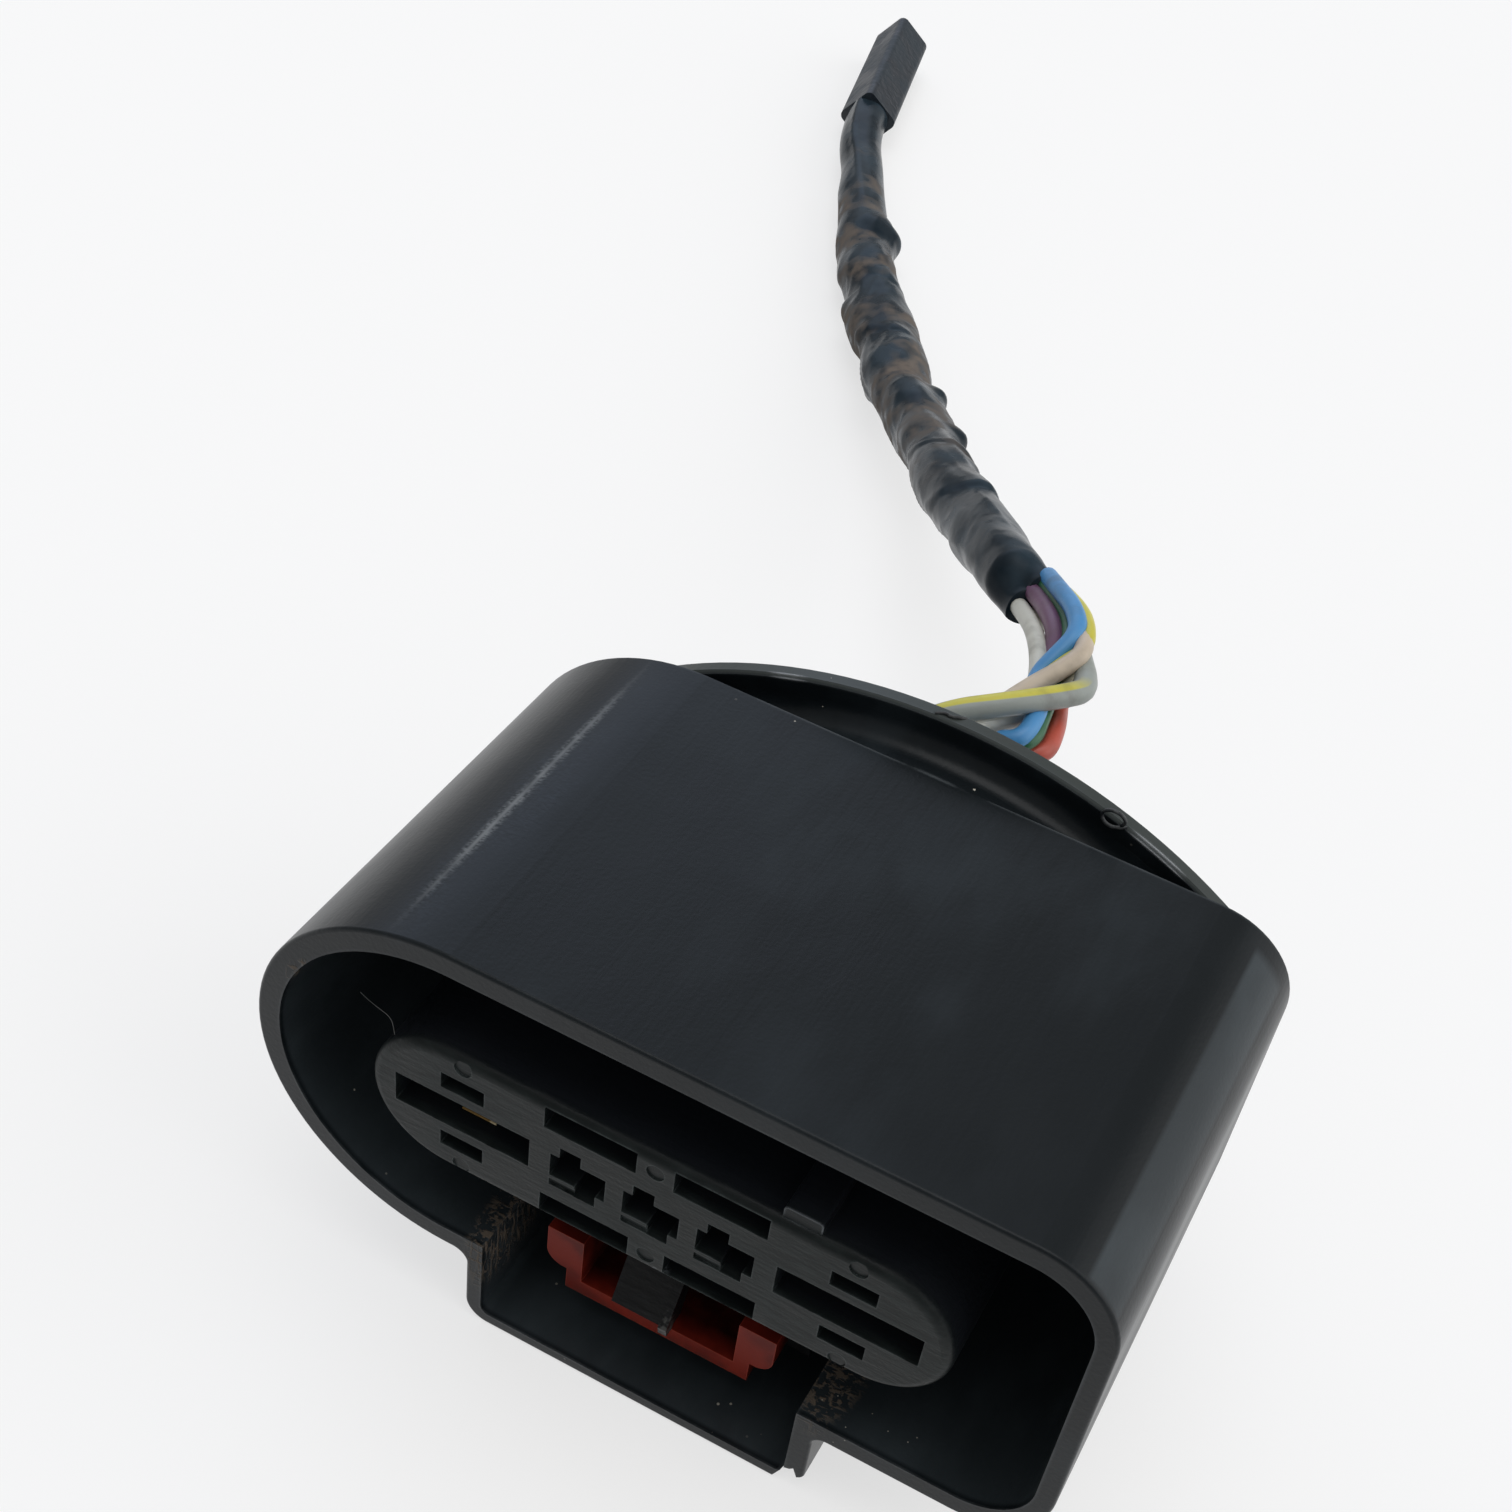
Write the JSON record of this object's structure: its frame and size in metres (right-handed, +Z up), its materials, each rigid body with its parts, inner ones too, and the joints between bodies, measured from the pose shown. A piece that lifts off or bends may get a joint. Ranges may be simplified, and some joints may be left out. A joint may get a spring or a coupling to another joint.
{
  "type": "fuel pump connector",
  "caption": "Multi-way plug with a D-ended shroud, latch bay, sliding lock, flat socket cavities, rear flange and a short taped wire harness.",
  "frame": {"origin": "middle of the open mating face, level with the shroud's rim", "axes": "+X along the long side of the shroud towards its flat end, +Y from the mating face to the back, +Z up, away from the latch bay"},
  "size_m": [0.1211, 0.2245, 0.043],
  "materials": {
    "shroud": "satin moulded",
    "plug_body": "satin moulded",
    "rear_cover": "satin moulded",
    "lock_slide": "satin moulded",
    "contacts": "plated strip",
    "wire_grey": "smooth insulation",
    "wire_white": "smooth insulation",
    "wire_tan": "smooth insulation",
    "wire_blue": "smooth insulation",
    "wire_green": "smooth insulation",
    "wire_red": "smooth insulation",
    "wire_purple": "smooth insulation",
    "wire_yellow": "smooth insulation",
    "wire_ivory": "smooth insulation",
    "tape_wrap": "dusty cloth tape",
    "end_sleeve": "dull sleeve"
  },
  "bodies": {
    "housing": {"shroud": "shroud", "plug_body": "plug_body", "rear_cover": "rear_cover", "contact_large_left": "contacts", "contact_large_right": "contacts", "contact_medium_upper_left": "contacts", "contact_medium_upper_right": "contacts", "contact_medium_lower_left": "contacts", "contact_medium_lower_right": "contacts", "contact_small_left": "contacts", "contact_small_middle": "contacts", "contact_small_right": "contacts", "wire_grey": "wire_grey", "wire_white": "wire_white", "wire_tan": "wire_tan", "wire_blue": "wire_blue", "wire_green": "wire_green", "wire_red": "wire_red", "wire_purple": "wire_purple", "wire_yellow": "wire_yellow", "wire_ivory": "wire_ivory", "tape_wrap": "tape_wrap", "end_sleeve": "end_sleeve"},
    "lock": {"lock_slide": "lock_slide"}
  },
  "joints": [
    {"name": "lock_slide_travel", "type": "slide", "parent": "housing", "child": "lock", "axis": [0, 1, 0], "range_m": [0, 0.0035]}
  ]
}
